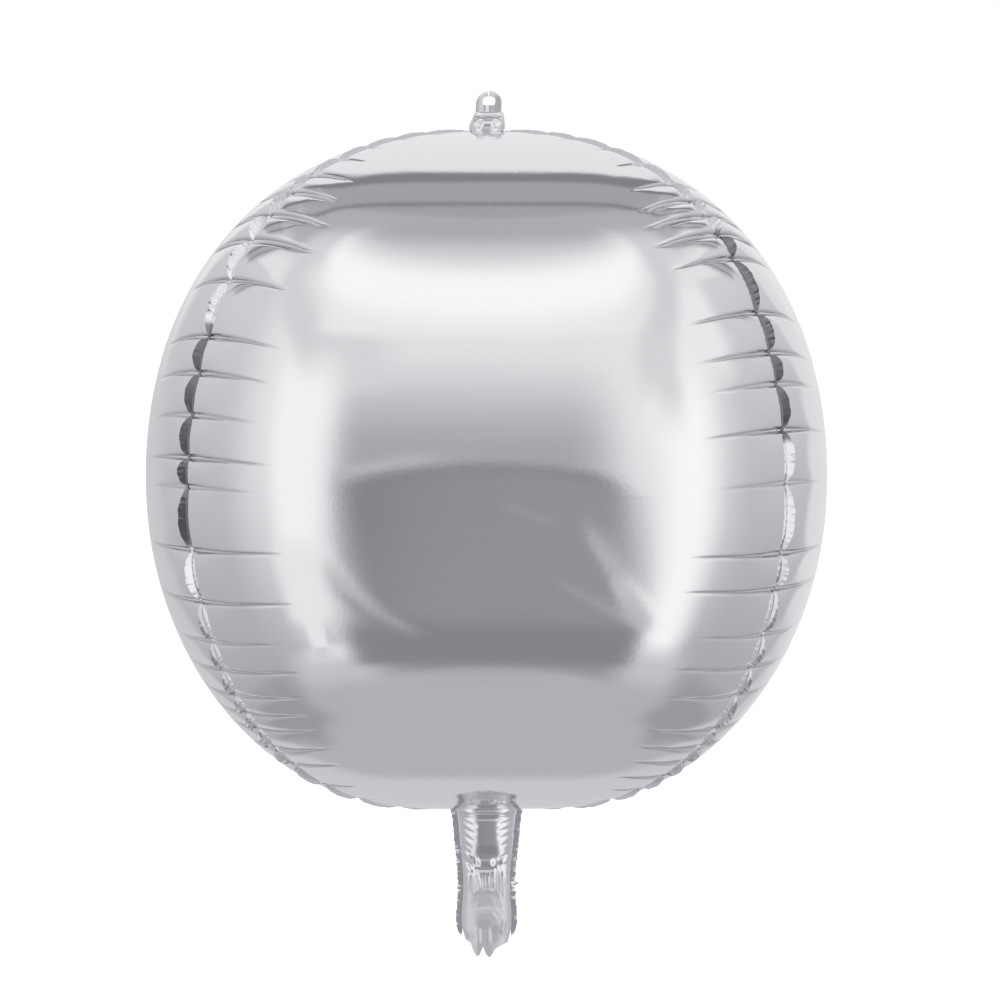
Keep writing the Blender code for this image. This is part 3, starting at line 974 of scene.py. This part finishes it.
def make_neck_film(side, material):
    turn = 1 if side == "front" else -1
    rows = int((NECK[0][0] - NECK[-1][0]) / NECK_ROW)
    heights, widths, depths, powers = section_values(NECK, rows, 5)
    share = np.sin(np.linspace(-math.pi / 2, math.pi / 2, NECK_COLUMNS))[None, :]
    x = widths * share
    edge_x, edge_z = zip(*NECK_EDGE)
    down = (heights - heights[0]) / (heights[-1] - heights[0])
    z = heights + (np.interp(turn * x, edge_x, edge_z) - heights[-1]) * down**5
    y = depths * (1 - np.abs(share) ** powers) ** (1 / powers)
    folds = NECK_FRONT_FOLDS if side == "front" else NECK_BACK_FOLDS
    relief = fold_relief(turn * x, z, folds)
    if side == "front":
        relief = relief + neck_patch(x, z)
    slack = smooth(-244, -256, z) * (1 - 0.6 * smooth(-272, -280, z))
    crush = 0.10 * np.sin(x * 0.9 + 0.9 * np.sin(z * 0.5)) * np.sin(z * 0.8 + x * 0.4) * slack
    y = y + (relief + crush) * smooth(0, 0.35, 1 - np.abs(share)) + 0.25
    points = MM * np.stack([turn * x, -turn * y, z], axis=-1)
    faces = grid_faces(*x.shape, flip=True)
    return add_mesh("neck_film_" + side, points, faces, material, ["neck_" + side])


def make_neck_seal(side, material):
    """The crinkled weld along one edge of the neck, rounded off at its lower end."""
    turn = 1 if side == "right" else -1
    count = 240
    heights, widths, _, _ = (value[:, 0] for value in section_values(NECK, count, 8))
    keep = (heights > SEAL_END) & (heights < -206.0)
    heights, widths = heights[keep], widths[keep]
    run = -heights
    kink = np.exp(-(((run - 259) / 5) ** 2)) * (1 if side == "right" else 0.2)
    rough = 0.35 + kink + 0.5 * np.exp(-(((run - 242) / 5) ** 2))
    seed = "seal" + side
    across = np.linspace(-0.12, 1, 9)
    end = np.sqrt(np.clip(1 - ((run - 279) / (-SEAL_END - 279)) ** 2, 0, 1))
    width = SEAL_WIDTH * np.where(run > 279, 0.1 + 0.9 * end, 1)
    width = width * (1 + (0.05 + 0.25 * kink) * waves(run, (3.0, 5.0, 8.0), seed))
    ripple = 0.45 * rough * waves(run, (4.3, 6.4, 9.3), seed + "ripple")
    shear = 0.55 * rough * waves(run, (3.1, 5.1, 11.0), seed + "shear")
    x = widths[:, None] + width[:, None] * across
    y = ripple[:, None] * across + shear[:, None] * across**2
    z = np.broadcast_to(heights[:, None], x.shape)
    points = MM * np.stack([turn * x, y, z], axis=-1)
    faces = grid_faces(*x.shape)
    return add_mesh("neck_weld_" + side, points, faces, material, ["neck_seal_" + side])


def make_sleeve(material):
    columns = 48
    heights, widths, depths, powers = section_values(SLEEVE, 60, 3)
    turns = np.linspace(0, 2 * math.pi, columns, endpoint=False)[None, :]
    across, forward = np.sin(turns), np.cos(turns)
    x = widths * np.sign(across) * np.abs(across) ** (2 / powers)
    y = -depths * np.sign(forward) * np.abs(forward) ** (2 / powers)
    y = y * (1 + 0.12 * np.sin(heights * 0.9 + 2 * across))
    z = np.broadcast_to(heights, x.shape)
    faces = grid_faces(*x.shape, closed=True)
    return add_mesh("sleeve", MM * np.stack([x, y, z], axis=-1), faces, material, ["valve_sleeve"])


def main():
    bpy.context.scene.view_settings.view_transform = "Standard"
    make_studio()
    make_camera()
    make_floor()
    foil = silver_foil()
    weld = welded_foil()
    flange = welded_foil("flange_foil_painted_shade")
    crumple = neck_foil()
    valve = valve_film()
    for side in GORES:
        make_gore(side, foil)
    for seam in SEAMS:
        make_flange(seam, flange)
    make_pocket(crumple)
    make_tab(weld)
    for side in ("front", "back"):
        make_neck_film(side, crumple)
    for side in ("left", "right"):
        make_neck_seal(side, weld)
    make_sleeve(valve)


main()
